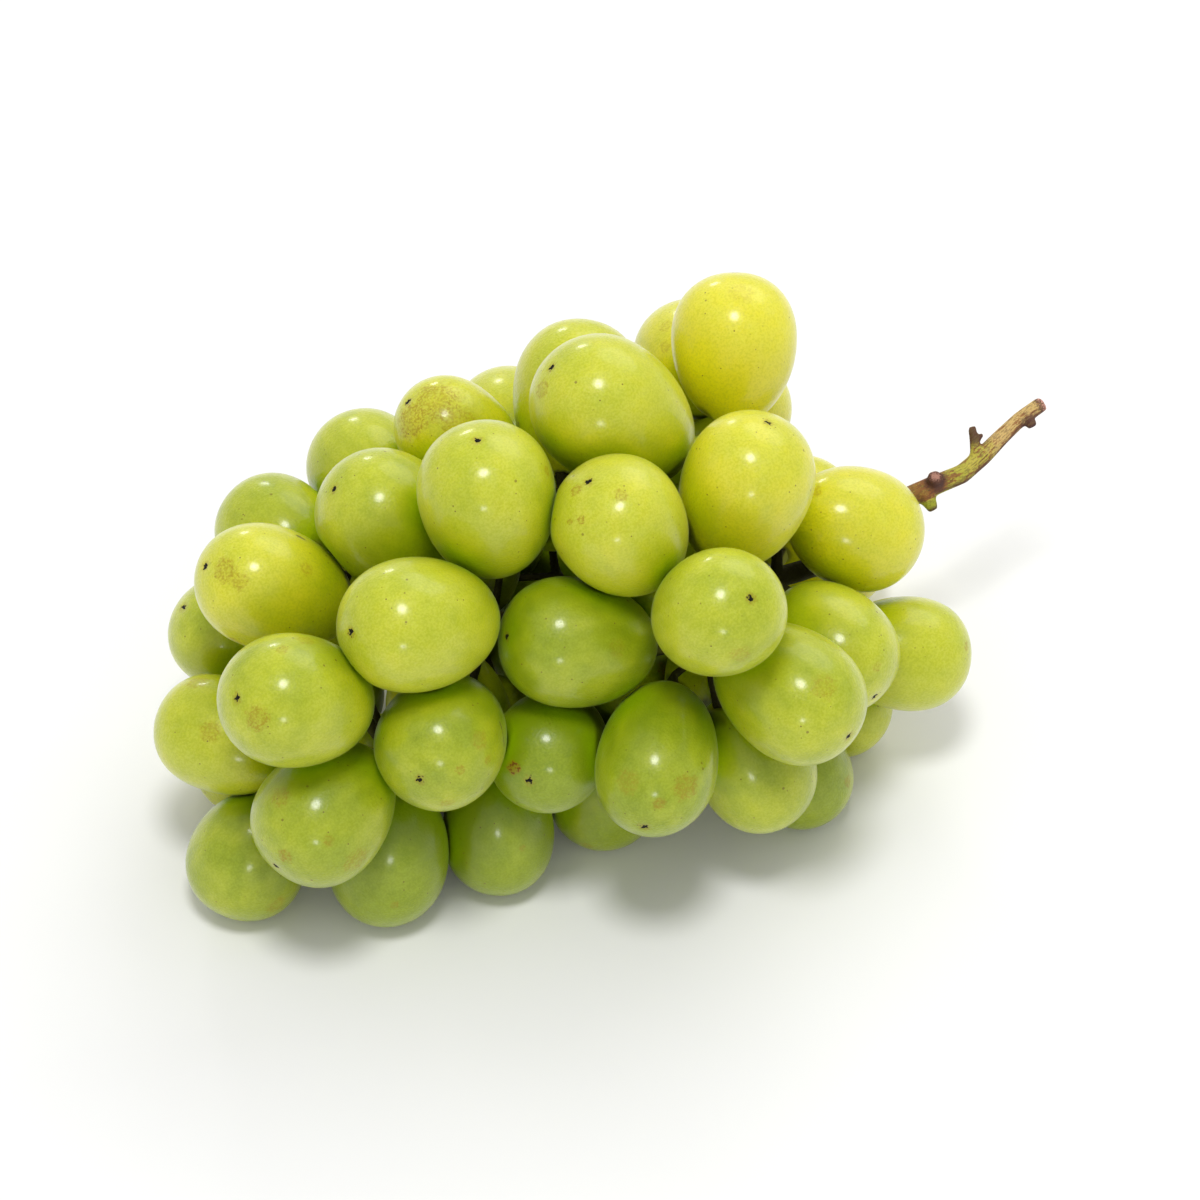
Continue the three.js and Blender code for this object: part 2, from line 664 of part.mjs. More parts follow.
function stubSolid({ from, to, radii }) {
  const line = new THREE.LineCurve3(sightPoint(from), sightPoint(to));
  const radiusAt = (part) => THREE.MathUtils.lerp(radii[0], radii[1], part);
  return tubeSolid(line, radiusAt, STUB_SIDES, STUB_STEP);
}

// A grape grown by the gap that the stem keeps from it.
function grapeWithGap(geometry, grape) {
  const grown = 1 + STEM_GAP / grape.halfWide;
  const { x, y, z } = grape.center;
  return toSolid(geometry.clone().scale(grown, grown, grown).translate(x, y, z));
}

// The stem as it grew, in one piece, hollowed where it holds the grapes.
function stemGeometry(grapes, geometries, stemCurve, stemPoints) {
  const knots = growStalks(grapes, stemPoints);
  smoothStalks(knots, grapes);
  const parts = [
    mainStemSolid(stemCurve),
    ...BRANCH_STUBS.map(stubSolid),
    ...stalkSolids(knots),
  ];
  const grown = parts.reduce((a, b) => a.add(b));
  const hollowed = grapes.reduce(
    (stem, grape, i) => stem.subtract(grapeWithGap(geometries[i], grape)),
    grown,
  );
  const pieces = hollowed.decompose();
  return toGeometry(pieces.reduce((a, b) => (a.volume() > b.volume() ? a : b)));
}

// How the bunch is put together.

// Grapes are yellower towards the cut stem and on top, where they had more sun.
function skinColor(center) {
  const further = (center.x - MIDDLE.x) / RIPENS_ALONG + (center.z - MIDDLE.z) / RIPENS_UPWARD;
  const ripeness = THREE.MathUtils.clamp(RIPENESS_AT_MIDDLE + further, 0, 1);
  return YOUNG_GREEN.clone().lerp(RIPE_YELLOW, ripeness);
}

function addPart(group, name, geometry, position, material) {
  const mesh = new THREE.Mesh(geometry, new THREE.MeshStandardMaterial(material));
  mesh.name = name;
  mesh.position.copy(position);
  group.add(mesh);
}

function buildBunch() {
  const stemCurve = smoothCurve(MAIN_STEM.map(sightPoint));
  const stemPoints = stemCurve.getSpacedPoints(STEM_SAMPLES);
  const leafyCurve = smoothCurve(MAIN_STEM.slice(BARE_POINTS).map(sightPoint));
  const seen = seenGrapes();
  settle(seen, stemPoints);
  const grapes = [...seen, ...hiddenGrapes(seen, leafyCurve)];
  settle(grapes, stemPoints);

  const group = new THREE.Group();
  const geometries = grapes.map((grape) => grapeGeometry(grape, grapes));
  grapes.forEach((grape, i) => {
    const name = "grape_" + String(i + 1).padStart(2, "0");
    const skin = { color: skinColor(grape.center), ...SKIN_FINISH };
    addPart(group, name, geometries[i], grape.center, skin);
  });
  const stem = stemGeometry(grapes, geometries, stemCurve, leafyCurve.getSpacedPoints(STEM_SAMPLES));
  addPart(group, "stem", stem, new THREE.Vector3(), { color: STEM_BROWN, ...BARK_FINISH });
  return group;
}

// Puts the origin under the middle of the bunch.
function standOnOrigin(group) {
  const box = new THREE.Box3().setFromObject(group, true);
  const middle = box.getCenter(new THREE.Vector3());
  group.position.set(-middle.x, -middle.y, -box.min.z);
  return group;
}

export default standOnOrigin(buildBunch());
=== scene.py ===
import math

import bpy
import numpy as np
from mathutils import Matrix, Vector, noise
from mathutils.bvhtree import BVHTree


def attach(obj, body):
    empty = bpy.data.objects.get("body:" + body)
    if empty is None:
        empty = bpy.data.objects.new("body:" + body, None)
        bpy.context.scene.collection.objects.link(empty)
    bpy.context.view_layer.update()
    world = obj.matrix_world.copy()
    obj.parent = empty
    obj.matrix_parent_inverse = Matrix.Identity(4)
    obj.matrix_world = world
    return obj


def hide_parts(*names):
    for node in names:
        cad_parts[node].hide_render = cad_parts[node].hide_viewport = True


MM = 0.001
# A number in the place of nothing, where something is divided by it.
TINY = 1e-6

# The camera: which way it looks from, how far off, and the point that it aims at.
EYE_AZIMUTH = -22
EYE_ELEVATION = 45
EYE_DISTANCE = 0.9
LENS_MM = 135
SENSOR_MM = 36
AIM = Vector((-4.09, 4.093, 40)) * MM

# How bright the white surround is.
SURROUND_STRENGTH = 0.62

# The soft lights as they are seen from the aim: degrees round from the camera, degrees up and
# metres off, then width and height in metres, and watts.
SOFTBOXES = {
    "key": (-3, 74, 1.4, 0.35, 0.35, 8.8),
    "low_back": (196, 19, 1.5, 0.22, 0.14, 1.4),
    "high_back": (150, 46, 1.5, 1.4, 1.0, 6.5),
    "front": (0, 12, 1.4, 0.22, 0.16, 1.8),
}

# The floor: half its width, and the two shades that it goes between.
FLOOR_REACH = 4.0
FLOOR_SHADES = ((0.86, 0.86, 0.86), (0.88, 0.88, 0.88))

# The form of a grape: an egg with a blunt outline, fuller at its tip.
EGG_BLUNTNESS = 2.12
EGG_FULLNESS = 0.12
GRAPE_SIDES = 12
CAD_DIMPLE = 0.9 * MM
STALK_DIMPLE = 0.45 * MM
STALK_DIMPLE_WIDTH = 2.2 * MM
TIP_DIMPLE = 0.22 * MM
TIP_DIMPLE_WIDTH = 0.9 * MM
UNEVENNESS = 0.016
UNEVEN_SIZE = 14 * MM
SEGMENTS = 64
RINGS = 44

# No grape points this way, so that its own axes can be turned from it.
OFF_AXIS = (0.31, 0.52, 0.79)

# How an egg is fitted to a solid. A corner that is further inside the egg than this press was
# pressed in by a neighbour and doesn't count. The first rounds, with the egg not yet in place, let
# more of them count. The nudges are the small changes that show how the fit responds.
FIT_ROUNDS = 12
FIRST_ROUNDS = 4
FIRST_PRESS = 2 * MM
LATER_PRESS = 0.12 * MM
FIRST_WIDTH_SHARE = 0.95
PLACE_NUDGE = 1e-6
TURN_NUDGE = 1e-4

# How grapes press on each other and on the floor.
SKIN_GAP = 0.08 * MM
SOFTNESS = 0.12 * MM
SOFT_REACH = 10 * SOFTNESS
NEAR_ENOUGH = 2 * MM
SEPARATION_ROUNDS = 6

# How the light that reaches a skin past the other grapes is judged.
SKY_DIRECTIONS = 32
LOWEST_SKY = -0.15
SHADING_REACH = 85 * MM
SHADING_BLURS = 3

# The stem's mesh, and the grain of its bark. The swell makes up for what smoothing takes off, and
# the ends of the stubs keep their edges.
STEM_VOXEL = 0.33 * MM
STEM_SMOOTHINGS = 5
BARE_SMOOTHINGS = 26
STEM_SWELL = 0.1 * MM
GRAIN_DEPTH = 0.05 * MM
GRAIN_WIDTH = 0.9 * MM
GRAIN_LENGTH = 7 * MM
BARE_FROM = 52 * MM
BARE_TO = 68 * MM
STUB_SHARP_TO = 0.5 * MM
STUB_SMOOTH_FROM = 3 * MM
ROUTE_SAMPLES = 120
ROUTE_SMOOTHING = 17

# The patterns on a skin: their size, and for specks their spacing, their radius and the share of
# places that have one. Veins have a width and a length in millimetres.
BLOTCH_SIZE = 8 * MM
MOTTLE_SIZE = 2.4 * MM
RAGGED_SIZE = 1.1 * MM
SCAR_EDGE_SIZE = 0.6 * MM
DOT_SIZE = 0.5 * MM
PORE_SIZE = 0.45 * MM
SMALL_SPECKS = (1.6 * MM, 0.22 * MM, 0.45)
LARGE_SPECKS = (3.1 * MM, 0.36 * MM, 0.14)
VEINS = (3, 13)
WAX_SIZE = 2.6 * MM
SKIN_RELIEF = 0.09 * MM
FLESH_DEPTH = 10 * MM

# The patterns on the bark: their size, or their width and length in millimetres.
PATCH_SIZE = 2.6 * MM
PIT_SIZE = 0.35 * MM
FIBRES = (0.26, 1.1)
STREAKS = (0.5, 2.4)
BARK_RELIEF = 0.25 * MM
BARK_DEPTH = 0.5 * MM

# From where to where each tone of the bark comes in, in millimetres from the cut end.
OLIVE_ALONG = (9.0, 19.0)
GREEN_ALONG = (14.0, 30.0)
GREEN_BELOW_ALONG = (24.0, 28.0)
BROWN_ABOVE_ALONG = (25.0, 29.0)

# Colours, linear.
YOUNG_GREEN = (0.19, 0.265, 0.003)
RIPE_GREEN = (0.455, 0.49, 0.006)
RIPE_YELLOW = (0.73, 0.66, 0.016)
# Painted shade: the purer colours the skin is given where other grapes cover it, as light glowing through
# the flesh looks in the shade.
PAINTED_SHADE_GREEN = (0.32, 0.50, 0.0)
PAINTED_SHADE_YELLOW = (0.80, 0.78, 0.0)
# Painted shade: near black laid on the skin far into the gaps between grapes, where little light reaches.
PAINTED_GAP_SHADE = (0.012, 0.012, 0.001)
# Pale bloom, laid on more where the skin is open, as painted pale light from the white surround.
YOUNG_BLOOM_WITH_LIGHT = (0.58, 0.64, 0.06)
BLOOM_WITH_LIGHT = (0.69, 0.72, 0.19)
RUSSET = (0.32, 0.185, 0.002)
DEEP_RUSSET = (0.13, 0.035, 0.002)
SPECK = (0.13, 0.065, 0.006)
SCAR = (0.004, 0.003, 0.001)
SCUFF = (0.13, 0.10, 0.06)
STEM_GREEN = (0.36, 0.38, 0.035)
STEM_OLIVE = (0.50, 0.43, 0.07)
STEM_PALE = (0.62, 0.43, 0.16)
STEM_RED = (0.26, 0.095, 0.035)
# Dark brown of the fibres, stubs and cut end, also laid on as painted shade on the stem's underside.
STEM_DARK_AND_SHADE = (0.085, 0.036, 0.03)
# Painted shade for the stem inside the bunch.
STEM_PAINTED_SHADE = (0.016, 0.011, 0.003)
CUT_WOOD = (0.70, 0.36, 0.28)

# How yellow each grape is, from about 0 (green) to 1, where it isn't near the usual.
USUAL_RIPENESS = 0.45
RIPENESS_SPREAD = 0.15
RIPENESS = {
    1: 1.05, 2: 0.85, 3: 0.6, 4: 0.6, 5: 0.6, 6: 0.8, 7: 0.6, 8: 0.68, 9: 0.5, 10: 0.4,
    14: 0.7, 16: 0.35, 17: 0.5, 19: 0.2, 20: 0.2, 21: 0.0, 22: 0.25, 23: 0.05, 24: -0.1,
    25: 0.2, 26: 0.15, 27: 0.1, 28: 0.4, 29: 0.35, 30: 0.45, 31: 0.5, 32: 0.85, 33: 0.85,
    34: 0.85, 35: 0.45, 36: 0.1, 37: 0.3, 40: 0.95,
}

# Brown marks on the skin: which grape, where it is seen across and up from the middle of the
# photo's frame in millimetres, its radius in millimetres, and how dark it is, over 1 for deep brown.
MARKS = [
    (1, 28.4, 61.6, 2.4, 0.3),
    (2, 13.2, 54.8, 1.6, 0.5),
    (2, 13.0, 50.6, 1.2, 0.5),
    (7, 4.2, 21.0, 1.3, 0.7),
    (7, -3.8, 16.0, 0.8, 0.9),
    (7, -6.0, 15.6, 0.7, 0.8),
    (7, -4.8, 22.0, 1.3, 0.8),
    (8, -38.0, 36.0, 3.6, 0.9),
    (8, -33.0, 40.0, 4.6, 0.8),
    (8, -28.0, 35.0, 3.6, 0.6),
    (14, -75.0, 6.0, 2.4, 0.8),
    (14, -72.0, 3.6, 1.6, 0.7),
    (14, -58.6, 6.2, 1.4, 0.6),
    (14, -73.2, -8.0, 1.3, 1.0),
    (15, -68.6, -23.8, 2.5, 0.8),
    (15, -63.6, -10.0, 1.2, 0.6),
    (15, -59.0, -8.0, 1.8, 0.5),
    (17, -78.0, -26.4, 2.0, 0.6),
    (17, -80.6, -16.4, 2.2, 0.5),
    (20, -63.0, -51.2, 1.5, 0.9),
    (20, -54.2, -48.2, 1.1, 0.7),
    (20, -64.0, -39.4, 2.0, 0.6),
    (20, -48.6, -52.0, 2.6, 0.6),
    (21, -41.0, -61.0, 0.9, 0.6),
    (22, -28.0, -34.0, 1.0, 0.7),
    (22, -22.4, -32.0, 0.9, 0.8),
    (22, -30.6, -40.6, 1.4, 0.6),
    (22, -24.0, -28.0, 1.8, 0.5),
    (23, -15.4, -49.6, 0.7, 0.6),
    (24, -17.4, -33.6, 1.4, 1.7),
    (26, 5.4, -36.4, 2.3, 0.5),
    (26, 11.8, -40.8, 1.2, 0.8),
    (26, 17.2, -37.4, 2.6, 0.7),
    (28, 28.2, -11.0, 1.9, 0.5),
    (28, 28.4, -17.0, 1.6, 0.4),
    (29, 45.0, -17.4, 2.4, 0.5),
    (30, 55.4, -13.4, 1.0, 0.6),
]
MARKS_A_GRAPE = 4
UNSEEN_MARK_RADII = (0.7, 2.2)
UNSEEN_MARK_STRENGTHS = (0.3, 0.8)
SEED = 7

# Long grey scuffs: which grape, where each starts and ends across and up, and its half width.
SCUFFS = {
    14: ((-60.4, 12.8), (-48.6, 4.0), 0.55),
    22: ((-20.0, -24.6), (-19.2, -29.0), 0.3),
}

# The way of the bare stem from its cut end, and where it has lost its side branches, in
# millimetres from the aim: across, up and toward the camera, and how far each stub is brown.
BARE_STEM = [
    (88.6, 39.4, -22),
    (82.8, 35.2, -21),
    (77.6, 29.8, -19),
    (72.4, 25.2, -17),
    (62, 20.8, -15),
    (49, 9.5, -13),
]
STUB_ENDS = [
    (67.1, 24.7, -12.6, 3.4),
    (66.7, 18, -15, 1.5),
    (74.4, 34.6, -18, 4.6),
    (76.5, 33.2, -18, 1.6),
    (86.5, 34.8, -20, 2.8),
]


# Directions.

def direction(azimuth, elevation):
    """The way to what stands that many degrees round from the front, and that many up."""
    turn = math.radians(azimuth)
    rise = math.radians(elevation)
    return Vector((math.sin(turn) * math.cos(rise), -math.cos(turn) * math.cos(rise), math.sin(rise)))


def eye_directions():
    """Across the picture, up it, and toward the camera."""
    turn = math.radians(EYE_AZIMUTH)
    across = Vector((math.cos(turn), math.sin(turn), 0))
    toward = direction(EYE_AZIMUTH, EYE_ELEVATION)
    return across, toward.cross(across), toward


def sight_point(across, up, toward):
    """The place that is seen that far across and up from the aim and lies that far toward the
    camera, in millimetres."""
    right, above, front = eye_directions()
    shrink = 1 - toward * MM / EYE_DISTANCE
    return AIM + (right * across + above * up) * shrink * MM + front * toward * MM


# What the solids say of the grapes.

def unit(vector):
    return vector / np.linalg.norm(vector)


def welded(node):
    """The corners of a solid, each once, and its triangles."""
    mesh = node.data
    mesh.calc_loop_triangles()
    corners = np.array([vertex.co for vertex in mesh.vertices])
    faces = np.array([triangle.vertices for triangle in mesh.loop_triangles])
    _, first, same = np.unique(np.round(corners / MM, 3), axis=0, return_index=True, return_inverse=True)
    return corners[first], same.reshape(-1)[faces]


def middle_of(points, faces):
    """The centre of volume of a closed solid."""
    a, b, c = (points[faces[:, i]] for i in range(3))
    volumes = np.einsum("ij,ij->i", a, np.cross(b, c))
    return (volumes[:, None] * (a + b + c)).sum(0) / (4 * volumes.sum())


def stalk_pole(points, faces, stem_tree):
    """The corner at the stalk end, where as many facets meet as a grape has sides."""
    meeting = np.bincount(faces.ravel(), minlength=len(points))
    poles = points[meeting >= GRAPE_SIDES]
    return min(poles, key=lambda pole: stem_tree.find_nearest(Vector(pole))[3])


def skin_offsets(egg, points):
    """How far points are outside an egg, less than zero inside. An egg is its centre, its tip's
    direction, half its length and half its width, as eight numbers."""
    out = points - egg[:3]
    along = out @ unit(egg[3:6])
    across = np.sqrt(np.maximum((out ** 2).sum(1) - along ** 2, 0))
    share = along / egg[6]
    width = egg[7] * (1 + EGG_FULLNESS * share)
    level = (np.abs(share) ** EGG_BLUNTNESS + (across / width) ** EGG_BLUNTNESS) ** (1 / EGG_BLUNTNESS)
    return (level - 1) * egg[7]


def fitted_egg(points, middle, pole):
    """The egg whose skin goes through the corners of a grape's solid that nothing presses in."""
    half_long = np.linalg.norm(pole - middle) + CAD_DIMPLE
    half_wide = np.median(np.linalg.norm(points - middle, axis=1)) * FIRST_WIDTH_SHARE
    egg = np.array([*middle, *unit(middle - pole), half_long, half_wide])
    nudges = np.diag([PLACE_NUDGE] * 3 + [TURN_NUDGE] * 3 + [PLACE_NUDGE] * 2)
    off_pole = np.linalg.norm(points - pole, axis=1) > MM
    for step in range(FIT_ROUNDS):
        press = FIRST_PRESS if step < FIRST_ROUNDS else LATER_PRESS
        offsets = skin_offsets(egg, points)
        free = off_pole & (offsets > -press)
        slopes = [(skin_offsets(egg + nudge, points) - offsets) / nudge.sum() for nudge in nudges]
        change = np.linalg.lstsq(np.array(slopes).T[free], -offsets[free], rcond=TINY)[0]
        egg = egg + change
        egg[3:6] = unit(egg[3:6])
    return egg


class Grape:
    """A grape's egg, read from its solid. Its stretch is how much more the square of its half length
    is than that of its half width."""

    def __init__(self, node, stem_tree):
        points, faces = welded(node)
        middle = middle_of(points, faces)
        egg = fitted_egg(points, middle, stalk_pole(points, faces, stem_tree))
        self.node = node
        self.number = int(node.name.split("_")[1])
        self.center = egg[:3]
        self.tip = egg[3:6]
        self.half_long = egg[6]
        self.half_wide = egg[7]
        self.radius = (self.half_long * self.half_wide ** 2) ** (1 / 3)
        self.stretch = self.half_long ** 2 - self.half_wide ** 2

    def reach(self, way):
        """How far the grape goes that way from its centre, as if it were an ellipsoid."""
        return math.sqrt(self.half_wide ** 2 + self.stretch * (self.tip @ way) ** 2)

    def furthest(self, way):
        """The point that lies furthest that way, from the centre."""
        return (way * self.half_wide ** 2 + self.tip * self.stretch * (self.tip @ way)) / self.reach(way)

    def is_near(self, other):
        """Whether two grapes may touch."""
        apart = np.linalg.norm(self.center - other.center)
        return apart < self.half_long + other.half_long + NEAR_ENOUGH


def contact_plane(grape, other):
    """The plane that parts a grape from its neighbour: its normal and its distance."""
    between = other.center - grape.center
    normal = unit(between)
    for _ in range(SEPARATION_ROUNDS):
        both = grape.reach(normal) + other.reach(normal)
        normal = unit(normal * both + between - grape.furthest(normal) - other.furthest(normal))
    gap = between @ normal - grape.reach(normal) - other.reach(normal)
    return normal, grape.reach(normal) + (gap - SKIN_GAP) / 2


# The grapes' skins.

def egg_grid(grape):
    """Points over an egg, ring by ring from the stalk to the tip, in the grape's own axes."""
    turns = np.linspace(0, math.pi, RINGS + 1)[1:-1]
    along = -np.sign(np.cos(turns)) * np.abs(np.cos(turns)) ** (2 / EGG_BLUNTNESS)
    across = np.sin(turns) ** (2 / EGG_BLUNTNESS) * (1 + EGG_FULLNESS * along)
    angles = np.linspace(0, 2 * math.pi, SEGMENTS, endpoint=False)
    x = np.outer(across, np.cos(angles)).ravel() * grape.half_wide
    y = np.outer(across, np.sin(angles)).ravel() * grape.half_wide
    z = np.repeat(along, SEGMENTS) * grape.half_long
    ends = [[0, 0, -grape.half_long], [0, 0, grape.half_long]]
    return np.vstack([ends[:1], np.column_stack([x, y, z]), ends[1:]])


def grid_faces():
    """The faces between the rings, closed by a fan at each end."""
    faces = []
    last = 1 + (RINGS - 1) * SEGMENTS
    for side in range(SEGMENTS):
        after = (side + 1) % SEGMENTS
        faces.append((0, 1 + after, 1 + side))
        for ring in range(RINGS - 2):
            low = 1 + ring * SEGMENTS
            high = low + SEGMENTS
            faces.append((low + side, low + after, high + after, high + side))
        faces.append((last - SEGMENTS + side, last - SEGMENTS + after, last))
    return faces


def own_axes(grape):
    """Two directions across a grape and the one to its tip, as the rows of a matrix."""
    side = unit(np.cross(grape.tip, OFF_AXIS))
    return np.array([side, np.cross(grape.tip, side), grape.tip])


def dimpled(local):
    """Sinks the skin where the stalk holds it, and a little at the tip."""
    from_axis = np.hypot(local[:, 0], local[:, 1])
    stalk = STALK_DIMPLE * np.exp(-(from_axis / STALK_DIMPLE_WIDTH) ** 2) * (local[:, 2] < 0)
    tip = TIP_DIMPLE * np.exp(-(from_axis / TIP_DIMPLE_WIDTH) ** 2) * (local[:, 2] > 0)
    sunk = local.copy()
    sunk[:, 2] += stalk - tip
    return sunk


def uneven(points, grape):
    """Bulges and flattens a grape a little, as each one grew."""
    shift = Vector(grape.center) / MM
    swell = [1 + UNEVENNESS * noise.noise(Vector(point) / UNEVEN_SIZE + shift) for point in points]
    return points * np.array(swell)[:, None]


def pressed(points, planes):
    """Presses points in towards the grape's centre, softly, to where its neighbours let them be."""
    for normal, distance in planes:
        out = points @ normal
        near = out > distance / 2
        held = -SOFTNESS * np.logaddexp(-out[near] / SOFTNESS, -distance / SOFTNESS)
        points[near] *= (held / out[near])[:, None]
    return points


def above_floor(points):
    """Flattens softly what would be under the floor."""
    low = points[:, 2] < SOFT_REACH
    points[low, 2] = SOFTNESS * np.logaddexp(points[low, 2] / SOFTNESS, 0)
    return points


def add_values(mesh, name, values, kind="FLOAT"):
    """Stores a number, vector or colour for each point of a mesh."""
    attribute = mesh.attributes.new(name, kind, "POINT")
    key = {"FLOAT": "value", "FLOAT_VECTOR": "vector", "FLOAT_COLOR": "color"}[kind]
    attribute.data.foreach_set(key, np.ascontiguousarray(values, np.float32).ravel())


def add_same(mesh, name, numbers):
    """Stores the same one, three or four numbers for every point of a mesh."""
    kind = {1: "FLOAT", 3: "FLOAT_VECTOR", 4: "FLOAT_COLOR"}[len(numbers)]
    add_values(mesh, name, np.tile(numbers, (len(mesh.vertices), 1)), kind)


def new_piece(name, points, faces):
    """A smooth-shaded mesh in the scene."""
    mesh = bpy.data.meshes.new(name)
    mesh.from_pydata(points.tolist(), [], faces)
    mesh.shade_smooth()
    piece = bpy.data.objects.new(name, mesh)
    bpy.context.scene.collection.objects.link(piece)
    return piece


def seen_spot(tree, grape, across, up):
    """The point of a skin that the camera sees at that place, or the nearest one where it misses."""
    eye = AIM + eye_directions()[2] * EYE_DISTANCE
    way = (sight_point(across, up, 0) - eye).normalized()
    hit = tree.ray_cast(eye, way)[0]
    beside = eye + way * (Vector(grape.center) - eye).dot(way)
    return hit or tree.find_nearest(beside)[0]


def marks_of(grape, tree, points, random):
    """The marks on a grape, each as its place, radius and strength. Where the photo doesn't show
    them, a few lie at random places."""
    marks = []
    for number, across, up, radius, strength in MARKS:
        if number == grape.number:
            marks.append((*seen_spot(tree, grape, across, up), radius * MM, strength))
    for _ in range(0 if marks else random.integers(1, MARKS_A_GRAPE)):
        place = points[random.integers(len(points))]
        radius = random.uniform(*UNSEEN_MARK_RADII) * MM
        marks.append((*place, radius, random.uniform(*UNSEEN_MARK_STRENGTHS)))
    return (marks + [(0, 0, 0, 0, 0)] * MARKS_A_GRAPE)[:MARKS_A_GRAPE]


def scuff_of(grape, tree):
    """Where the scuff of a grape starts and ends, and its half width, 0 if it has none."""
    if grape.number not in SCUFFS:
        return (0, 0, 0, 0), (0, 0, 0)
    start, end, width = SCUFFS[grape.number]
    return (*seen_spot(tree, grape, *start), width * MM), tuple(seen_spot(tree, grape, *end))


def openness(points, normals, grapes):
    """How open a surface lies, from 0 where a grape covers it to 1 where nothing is near."""
    result = np.ones(len(points))
    for other in grapes:
        between = other.center - points
        distance = np.linalg.norm(between, axis=1)
        facing = np.clip(np.einsum("ij,ij->i", between, normals) / distance, 0, 1)
        result *= 1 - facing * np.clip(other.radius / distance, 0, 1) ** 2
    return result


def sky_directions():
    """Directions spread evenly over the sky and a little under the horizon."""
    height = np.linspace(LOWEST_SKY, 1, SKY_DIRECTIONS)
    turn = math.pi * (3 - math.sqrt(5)) * np.arange(SKY_DIRECTIONS)
    flat = np.sqrt(1 - height ** 2)
    return np.column_stack([flat * np.cos(turn), flat * np.sin(turn), height])


def daylight(points, normals, grapes):
    """The share of the sky before each point of a surface that no other grape covers."""
    near = [other for other in grapes if np.linalg.norm(other.center - points.mean(0)) < SHADING_REACH]
    centers = np.array([other.center for other in near])
    radii = np.array([other.radius for other in near])
    to = centers - points[:, None]
    apart = (to ** 2).sum(2)
    seen = np.zeros(len(points))
    whole = np.full(len(points), TINY)
    for way in sky_directions():
        ahead = to @ way
        covered = ((ahead > 0) & (apart - ahead ** 2 < radii ** 2)).any(axis=1)
        facing = np.maximum(normals @ way, 0)
        seen += facing * ~covered
        whole += facing
    return blurred(seen / whole)


def blurred(values):
    """Evens out values over the rings and segments of a skin's grid."""
    rings = values[1:-1].reshape(-1, SEGMENTS)
    for _ in range(SHADING_BLURS):
        around = np.roll(rings, 1, axis=1) + np.roll(rings, -1, axis=1)
        above_and_below = np.vstack([rings[:1], rings[:-1]]) + np.vstack([rings[1:], rings[-1:]])
        rings = (rings + around + above_and_below) / 5
    return np.concatenate([[rings[0].mean()], rings.ravel(), [rings[-1].mean()]])


def ripeness_of(grape, random):
    """How yellow a grape is, drawn from near the usual where it isn't told."""
    usual = USUAL_RIPENESS + random.uniform(-RIPENESS_SPREAD, RIPENESS_SPREAD)
    return RIPENESS.get(grape.number, usual)


def store_shades(mesh, local, points, others):
    """Stores where the points of a skin are on their grape, and how other grapes shade them."""
    normals = np.array([vertex.normal for vertex in mesh.vertices])
    add_values(mesh, "own_place", local / MM, "FLOAT_VECTOR")
    add_values(mesh, "from_tip", np.linalg.norm(points - points[-1], axis=1) / MM)
    add_values(mesh, "from_stalk", np.linalg.norm(points - points[0], axis=1) / MM)
    add_values(mesh, "openness", openness(points, normals, others))
    add_values(mesh, "daylight", daylight(points, normals, others))


def store_marks(mesh, grape, points, faces, random):
    """Stores where the marks and the scuff of a grape are."""
    tree = BVHTree.FromPolygons(points.tolist(), faces)
    marks = marks_of(grape, tree, points, random)
    for index, mark in enumerate(marks):
        add_same(mesh, f"mark_{index}", mark[:4])
    add_same(mesh, "strengths", [mark[4] for mark in marks])
    start, end = scuff_of(grape, tree)
    add_same(mesh, "scuff_start", start)
    add_same(mesh, "scuff_end", end)


def dress_grape(grape, grapes, faces, material, random):
    """A smooth skin in the place of a grape's solid."""
    others = [other for other in grapes if other is not grape]
    planes = [contact_plane(grape, other) for other in others if grape.is_near(other)]
    local = egg_grid(grape)
    shaped = uneven(dimpled(local) @ own_axes(grape), grape)
    points = above_floor(pressed(shaped, planes) + grape.center)
    piece = new_piece(f"skin_{grape.number:02d}", points, faces)
    add_same(piece.data, "ripeness", [ripeness_of(grape, random)])
    store_shades(piece.data, local, points, others)
    store_marks(piece.data, grape, points, faces, random)
    piece.data.materials.append(material)
    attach(piece, "root")
    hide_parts(grape.node.name)


# The stem's bark.

def evaluated_copy(piece, name):
    """A new object that holds the shape of another with its modifiers applied."""
    bpy.context.view_layer.update()
    shown = piece.evaluated_get(bpy.context.evaluated_depsgraph_get())
    mesh = bpy.data.meshes.new_from_object(shown)
    mesh.name = name
    copy = bpy.data.objects.new(name, mesh)
    bpy.context.scene.collection.objects.link(copy)
    return copy


def remeshed(node, name):
    """A fine, smooth copy of a faceted solid."""
    rough = bpy.data.objects.new("rough", node.data.copy())
    bpy.context.scene.collection.objects.link(rough)
    remesh = rough.modifiers.new("remesh", "REMESH")
    remesh.mode = "VOXEL"
    remesh.voxel_size = STEM_VOXEL
    smooth = rough.modifiers.new("smooth", "SMOOTH")
    smooth.iterations = STEM_SMOOTHINGS
    fine = evaluated_copy(rough, "fine")
    points = np.array([vertex.co for vertex in fine.data.vertices])
    from_stub = np.min(end_distances(points)[:-1], axis=0)
    shares = smooth_step(from_stub, STUB_SHARP_TO, STUB_SMOOTH_FROM) * bareness(points)
    bare = fine.vertex_groups.new(name="bare_part")
    for index, share in enumerate(shares):
        bare.add([index], float(share), "REPLACE")
    smooth = fine.modifiers.new("smooth", "SMOOTH")
    smooth.iterations = BARE_SMOOTHINGS
    smooth.vertex_group = bare.name
    finest = evaluated_copy(fine, name)
    bpy.data.objects.remove(rough)
    bpy.data.objects.remove(fine)
    return finest


def smooth_step(values, low, high):
    """0 below low and 1 above high, smooth between."""
    share = np.clip((values - low) / (high - low), 0, 1)
    return share * share * (3 - 2 * share)


